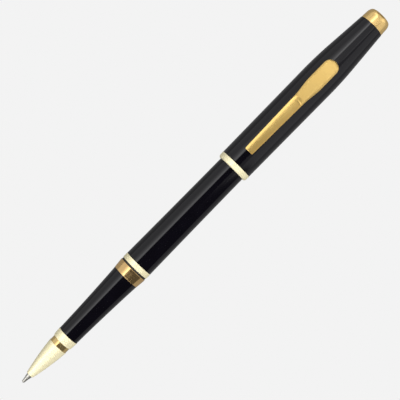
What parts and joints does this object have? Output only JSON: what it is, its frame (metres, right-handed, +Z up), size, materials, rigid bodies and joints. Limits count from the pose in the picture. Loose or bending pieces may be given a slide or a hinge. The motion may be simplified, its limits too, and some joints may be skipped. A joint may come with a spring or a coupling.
{
  "type": "rollerball pen",
  "caption": "Slim rollerball pen with a flared grip, screwed section, spring clip and tapered cap posted on the barrel.",
  "frame": {"origin": "middle of the laid down pen's bounding box, on the surface that it lies on", "axes": "+X along the pen towards the cap's top, +Z up through the clip, writing tip at -X"},
  "size_m": [0.15, 0.0108, 0.0128],
  "materials": {
    "pale_gold_plate": "polished pale gold plate",
    "gold_plate": "polished gold plate",
    "black_lacquer": "high gloss black lacquer over metal",
    "black_plastic": "satin black plastic",
    "raw_brass": "turned, unplated",
    "carbide": "ground, polished",
    "steel": "turned, bright",
    "fibre": "bonded fibre",
    "white_plastic": "moulded",
    "grey_plastic": "moulded",
    "ink_fibre": "ink-soaked fibre"
  },
  "bodies": {
    "barrel": {"barrel_shell": "black_lacquer", "barrel_trim_ring": "gold_plate", "barrel_insert": "raw_brass", "barrel_end_plug": "black_lacquer", "refill_spring": "steel"},
    "cap": {"cap_shell": "black_lacquer", "cap_lip_ring": "gold_plate", "cap_clutch": "raw_brass", "inner_cap": "grey_plastic", "crown_insert": "raw_brass", "finial_stud": "steel", "cap_finial": "gold_plate"},
    "clip": {"clip": "gold_plate"},
    "refill": {"refill_tube": "grey_plastic", "refill_nose": "white_plastic", "refill_tip": "steel", "feed_rod": "fibre", "ink_reservoir": "ink_fibre", "refill_end_plug": "grey_plastic"},
    "ball": {"refill_ball": "carbide"},
    "section": {"grip_shell": "black_lacquer", "nose_cone": "pale_gold_plate", "nose_collar": "gold_plate", "section_ring": "gold_plate", "joint_washer": "black_plastic", "section_connector": "raw_brass"}
  },
  "joints": [
    {"name": "cap_pull", "type": "slide", "parent": "barrel", "child": "cap", "axis": [1, 0, 0], "range_m": [0, 0.036]},
    {"name": "clip_flex", "type": "hinge", "parent": "cap", "child": "clip", "pos_m": [0.053, 0, 0.01054], "axis": [0, 1, 0], "range_deg": [0, 5], "stiffness_Nm_per_rad": 0.5},
    {"name": "refill_travel", "type": "slide", "parent": "barrel", "child": "refill", "axis": [-1, 0, 0], "range_m": [0, 0.0048], "deforming": ["refill_spring"]},
    {"name": "section_turn", "type": "hinge", "parent": "refill", "child": "section", "pos_m": [-0.028, 0, 0.00544], "axis": [-1, 0, 0], "range_deg": [0, 2161]},
    {"name": "ball_roll", "type": "hinge", "parent": "refill", "child": "ball", "pos_m": [-0.07465, 0, 0.00544], "axis": [0, 1, 0], "continuous": true}
  ],
  "couplings": [
    {"joint": "section_turn", "follows": "refill_travel", "rad_per_m": 7854}
  ]
}
